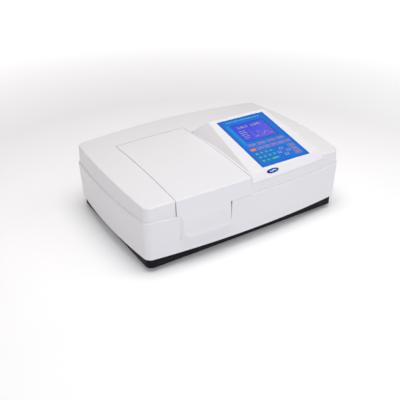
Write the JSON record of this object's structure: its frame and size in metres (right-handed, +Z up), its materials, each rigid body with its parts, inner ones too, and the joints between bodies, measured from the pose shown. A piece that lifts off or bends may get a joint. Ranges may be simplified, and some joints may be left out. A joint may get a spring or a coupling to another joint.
{
  "type": "spectrophotometer",
  "caption": "Bench-top double-beam spectrophotometer with a hinged sample-compartment lid, a raised sloping console with screen and keypad, and optics inside.",
  "frame": {"origin": "middle of the instrument's footprint on the bench, at the bottom of the rubber feet", "axes": "+X to the user's right along the width, +Y to the rear, +Z up; the front faces -Y"},
  "size_m": [0.6248, 0.4412, 0.2437],
  "materials": {
    "white_plastic": "fine-textured moulded shell",
    "black_plastic": "satin",
    "foot_rubber": "matte",
    "overlay_blue": "printed polyester sheet",
    "screen": "lit blue screen",
    "badge_blue": "domed",
    "zinc_steel": "zinc plated",
    "seal_foam": "closed-cell foam",
    "black_anodised": "black anodised",
    "cell_glass": "polished quartz",
    "cast_aluminium": "as cast",
    "mirror_glass": "coated",
    "sheet_aluminium": "brushed sheet",
    "lamp_glass": "clear",
    "board_green": "solder mask",
    "panel_paint": "fine-textured powder coat",
    "key_orange": "printed polyester",
    "key_teal": "printed polyester",
    "key_pink": "printed polyester"
  },
  "bodies": {
    "instrument": {"base_tray": "black_plastic", "rubber_feet": "foot_rubber", "lower_casing": "white_plastic", "upper_cover": "white_plastic", "console_housing": "white_plastic", "keypad_overlay": "overlay_blue", "display_module": "screen", "console_badge": "badge_blue", "lid_hinge_brackets": "zinc_steel", "lid_light_seal": "seal_foam", "sample_compartment": "black_plastic", "cell_holder": "black_anodised", "optical_bench": "cast_aluminium", "lamp_house": "sheet_aluminium", "source_lamps": "lamp_glass", "fixed_mirrors": "mirror_glass", "detectors": "black_anodised", "circuit_boards": "board_green", "rear_panel": "panel_paint", "panel_screws": "zinc_steel", "mains_inlet": "black_plastic", "data_ports": "zinc_steel", "fan_frame": "black_plastic"},
    "lid": {"sample_lid": "white_plastic", "lid_hinge_arms": "zinc_steel"},
    "switch_rocker": {"power_switch": "black_plastic"},
    "fan_rotor": {"fan_rotor": "black_plastic"},
    "source_mirror": {"source_mirror": "mirror_glass"},
    "filter_wheel": {"filter_wheel": "black_anodised"},
    "grating": {"grating": "mirror_glass"},
    "sample_cuvette": {"sample_cuvette": "cell_glass"},
    "reference_cuvette": {"reference_cuvette": "cell_glass"},
    "soft_key_1": {"soft_key_1": "key_pink"},
    "soft_key_2": {"soft_key_2": "key_pink"},
    "soft_key_3": {"soft_key_3": "key_pink"},
    "soft_key_4": {"soft_key_4": "key_pink"},
    "reset_key": {"reset_key": "key_orange"},
    "mode_key": {"mode_key": "key_pink"},
    "wavelength_key": {"wavelength_key": "key_pink"},
    "zero_key": {"zero_key": "key_pink"},
    "scan_key": {"scan_key": "key_pink"},
    "print_key": {"print_key": "key_pink"},
    "digit_key_0": {"digit_key_0": "key_teal"},
    "digit_key_1": {"digit_key_1": "key_teal"},
    "digit_key_2": {"digit_key_2": "key_teal"},
    "digit_key_3": {"digit_key_3": "key_teal"},
    "digit_key_4": {"digit_key_4": "key_teal"},
    "digit_key_5": {"digit_key_5": "key_teal"},
    "digit_key_6": {"digit_key_6": "key_teal"},
    "digit_key_7": {"digit_key_7": "key_teal"},
    "digit_key_8": {"digit_key_8": "key_teal"},
    "digit_key_9": {"digit_key_9": "key_teal"},
    "clear_key": {"clear_key": "key_teal"},
    "arrow_up_key": {"arrow_up_key": "key_pink"},
    "arrow_right_key": {"arrow_right_key": "key_pink"},
    "arrow_left_key": {"arrow_left_key": "key_pink"},
    "arrow_down_key": {"arrow_down_key": "key_pink"},
    "start_key": {"start_key": "key_pink"},
    "stop_key": {"stop_key": "key_pink"},
    "enter_key": {"enter_key": "key_pink"}
  },
  "joints": [
    {"name": "lid_hinge", "type": "hinge", "parent": "instrument", "child": "lid", "pos_m": [-0.116, 0.1458, 0.1883], "axis": [-1, 0, 0], "range_deg": [0, 70]},
    {"name": "power_rocker", "type": "hinge", "parent": "instrument", "child": "switch_rocker", "pos_m": [0.169, 0.2018, 0.079], "axis": [1, 0, 0], "range_deg": [0, 18]},
    {"name": "fan_spin", "type": "hinge", "parent": "instrument", "child": "fan_rotor", "pos_m": [-0.2, 0.1908, 0.091], "axis": [0, 1, 0], "continuous": true},
    {"name": "source_mirror_turn", "type": "hinge", "parent": "instrument", "child": "source_mirror", "pos_m": [0.165, 0.0608, 0.107], "axis": [0, 0, 1], "range_deg": [-25, 25]},
    {"name": "filter_wheel_spin", "type": "hinge", "parent": "instrument", "child": "filter_wheel", "pos_m": [0.112, 0.0358, 0.107], "axis": [1, 0, 0], "continuous": true},
    {"name": "grating_turn", "type": "hinge", "parent": "instrument", "child": "grating", "pos_m": [0.07, -0.0542, 0.107], "axis": [0, 0, 1], "range_deg": [-10, 60]},
    {"name": "sample_cuvette_lift", "type": "slide", "parent": "instrument", "child": "sample_cuvette", "axis": [0, 0, 1], "range_m": [0, 0.044]},
    {"name": "reference_cuvette_lift", "type": "slide", "parent": "instrument", "child": "reference_cuvette", "axis": [0, 0, 1], "range_m": [0, 0.044]},
    {"name": "soft_key_1_press", "type": "slide", "parent": "instrument", "child": "soft_key_1", "axis": [0, 0.2255, -0.9743], "range_m": [0, 0.0005], "stiffness_N_per_m": 400, "springref_m": -0.001},
    {"name": "soft_key_2_press", "type": "slide", "parent": "instrument", "child": "soft_key_2", "axis": [0, 0.2255, -0.9743], "range_m": [0, 0.0005], "stiffness_N_per_m": 400, "springref_m": -0.001},
    {"name": "soft_key_3_press", "type": "slide", "parent": "instrument", "child": "soft_key_3", "axis": [0, 0.2255, -0.9743], "range_m": [0, 0.0005], "stiffness_N_per_m": 400, "springref_m": -0.001},
    {"name": "soft_key_4_press", "type": "slide", "parent": "instrument", "child": "soft_key_4", "axis": [0, 0.2255, -0.9743], "range_m": [0, 0.0005], "stiffness_N_per_m": 400, "springref_m": -0.001},
    {"name": "reset_key_press", "type": "slide", "parent": "instrument", "child": "reset_key", "axis": [0, 0.2255, -0.9743], "range_m": [0, 0.0005], "stiffness_N_per_m": 400, "springref_m": -0.001},
    {"name": "mode_key_press", "type": "slide", "parent": "instrument", "child": "mode_key", "axis": [0, 0.2255, -0.9743], "range_m": [0, 0.0005], "stiffness_N_per_m": 400, "springref_m": -0.001},
    {"name": "wavelength_key_press", "type": "slide", "parent": "instrument", "child": "wavelength_key", "axis": [0, 0.2255, -0.9743], "range_m": [0, 0.0005], "stiffness_N_per_m": 400, "springref_m": -0.001},
    {"name": "zero_key_press", "type": "slide", "parent": "instrument", "child": "zero_key", "axis": [0, 0.2255, -0.9743], "range_m": [0, 0.0005], "stiffness_N_per_m": 400, "springref_m": -0.001},
    {"name": "scan_key_press", "type": "slide", "parent": "instrument", "child": "scan_key", "axis": [0, 0.2255, -0.9743], "range_m": [0, 0.0005], "stiffness_N_per_m": 400, "springref_m": -0.001},
    {"name": "print_key_press", "type": "slide", "parent": "instrument", "child": "print_key", "axis": [0, 0.2255, -0.9743], "range_m": [0, 0.0005], "stiffness_N_per_m": 400, "springref_m": -0.001},
    {"name": "digit_key_0_press", "type": "slide", "parent": "instrument", "child": "digit_key_0", "axis": [0, 0.2255, -0.9743], "range_m": [0, 0.0005], "stiffness_N_per_m": 400, "springref_m": -0.001},
    {"name": "digit_key_1_press", "type": "slide", "parent": "instrument", "child": "digit_key_1", "axis": [0, 0.2255, -0.9743], "range_m": [0, 0.0005], "stiffness_N_per_m": 400, "springref_m": -0.001},
    {"name": "digit_key_2_press", "type": "slide", "parent": "instrument", "child": "digit_key_2", "axis": [0, 0.2255, -0.9743], "range_m": [0, 0.0005], "stiffness_N_per_m": 400, "springref_m": -0.001},
    {"name": "digit_key_3_press", "type": "slide", "parent": "instrument", "child": "digit_key_3", "axis": [0, 0.2255, -0.9743], "range_m": [0, 0.0005], "stiffness_N_per_m": 400, "springref_m": -0.001},
    {"name": "digit_key_4_press", "type": "slide", "parent": "instrument", "child": "digit_key_4", "axis": [0, 0.2255, -0.9743], "range_m": [0, 0.0005], "stiffness_N_per_m": 400, "springref_m": -0.001},
    {"name": "digit_key_5_press", "type": "slide", "parent": "instrument", "child": "digit_key_5", "axis": [0, 0.2255, -0.9743], "range_m": [0, 0.0005], "stiffness_N_per_m": 400, "springref_m": -0.001},
    {"name": "digit_key_6_press", "type": "slide", "parent": "instrument", "child": "digit_key_6", "axis": [0, 0.2255, -0.9743], "range_m": [0, 0.0005], "stiffness_N_per_m": 400, "springref_m": -0.001},
    {"name": "digit_key_7_press", "type": "slide", "parent": "instrument", "child": "digit_key_7", "axis": [0, 0.2255, -0.9743], "range_m": [0, 0.0005], "stiffness_N_per_m": 400, "springref_m": -0.001},
    {"name": "digit_key_8_press", "type": "slide", "parent": "instrument", "child": "digit_key_8", "axis": [0, 0.2255, -0.9743], "range_m": [0, 0.0005], "stiffness_N_per_m": 400, "springref_m": -0.001},
    {"name": "digit_key_9_press", "type": "slide", "parent": "instrument", "child": "digit_key_9", "axis": [0, 0.2255, -0.9743], "range_m": [0, 0.0005], "stiffness_N_per_m": 400, "springref_m": -0.001},
    {"name": "clear_key_press", "type": "slide", "parent": "instrument", "child": "clear_key", "axis": [0, 0.2255, -0.9743], "range_m": [0, 0.0005], "stiffness_N_per_m": 400, "springref_m": -0.001},
    {"name": "arrow_up_key_press", "type": "slide", "parent": "instrument", "child": "arrow_up_key", "axis": [0, 0.2255, -0.9743], "range_m": [0, 0.0005], "stiffness_N_per_m": 400, "springref_m": -0.001},
    {"name": "arrow_right_key_press", "type": "slide", "parent": "instrument", "child": "arrow_right_key", "axis": [0, 0.2255, -0.9743], "range_m": [0, 0.0005], "stiffness_N_per_m": 400, "springref_m": -0.001},
    {"name": "arrow_left_key_press", "type": "slide", "parent": "instrument", "child": "arrow_left_key", "axis": [0, 0.2255, -0.9743], "range_m": [0, 0.0005], "stiffness_N_per_m": 400, "springref_m": -0.001},
    {"name": "arrow_down_key_press", "type": "slide", "parent": "instrument", "child": "arrow_down_key", "axis": [0, 0.2255, -0.9743], "range_m": [0, 0.0005], "stiffness_N_per_m": 400, "springref_m": -0.001},
    {"name": "start_key_press", "type": "slide", "parent": "instrument", "child": "start_key", "axis": [0, 0.2255, -0.9743], "range_m": [0, 0.0005], "stiffness_N_per_m": 400, "springref_m": -0.001},
    {"name": "stop_key_press", "type": "slide", "parent": "instrument", "child": "stop_key", "axis": [0, 0.2255, -0.9743], "range_m": [0, 0.0005], "stiffness_N_per_m": 400, "springref_m": -0.001},
    {"name": "enter_key_press", "type": "slide", "parent": "instrument", "child": "enter_key", "axis": [0, 0.2255, -0.9743], "range_m": [0, 0.0005], "stiffness_N_per_m": 400, "springref_m": -0.001}
  ]
}
